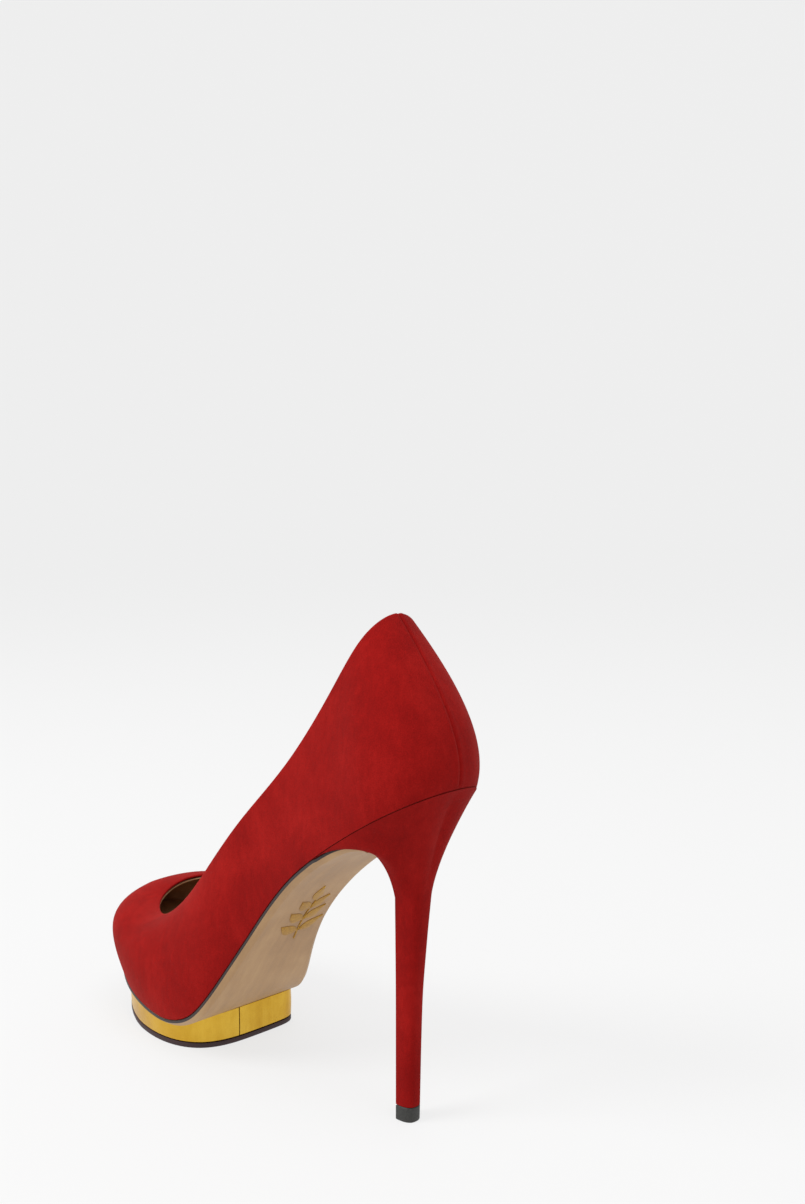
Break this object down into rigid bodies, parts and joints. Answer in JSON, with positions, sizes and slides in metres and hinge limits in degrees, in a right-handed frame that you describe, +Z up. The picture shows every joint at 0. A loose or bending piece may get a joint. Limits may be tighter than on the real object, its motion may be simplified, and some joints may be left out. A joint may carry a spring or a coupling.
{
  "type": "high heel pump",
  "caption": "Left-foot suede pump with a slim high heel, a low-cut rounded toe, a leather sole and a thin island platform with a gold edge; worn on a foot.",
  "frame": {"origin": "middle of the bounding box at floor level", "axes": "+Z up, +Y from toe to heel, +X to the outer side of the left foot"},
  "size_m": [0.0706, 0.2072, 0.1865],
  "materials": {
    "suede": "napped suede",
    "lining": "smooth, matt",
    "stiffener": "fibrous sheet",
    "board": "pressed fibreboard",
    "cork": "granular cork",
    "foam": "fine open foam",
    "steel": "plain",
    "sole_leather": "burnished, waxed",
    "gold_foil": "thin raised foil",
    "gold_leather": "metallic, satin",
    "outsole_rubber": "fine grain",
    "heel_plastic": "moulded",
    "lift_rubber": "fine grain"
  },
  "bodies": {
    "root": {"suede_upper": "suede", "upper_lining": "lining", "toe_puff": "stiffener", "heel_counter": "stiffener", "insole_board": "board", "concealed_platform": "cork", "footbed_foam": "foam", "sock_lining": "lining", "bottom_filler": "cork", "steel_shank": "steel", "shank_rivet_front": "steel", "shank_rivet_rear": "steel", "main_sole": "sole_leather", "sole_ornament": "gold_foil", "platform_core": "cork", "platform_wrap": "gold_leather", "platform_outsole": "outsole_rubber", "heel_block": "heel_plastic", "heel_cover": "suede", "heel_stem_tube": "steel", "heel_screw": "steel", "heel_nail_1": "steel", "heel_nail_2": "steel", "heel_nail_3": "steel", "heel_nail_4": "steel", "top_lift": "lift_rubber", "top_lift_pin": "steel"}
  },
  "joints": []
}
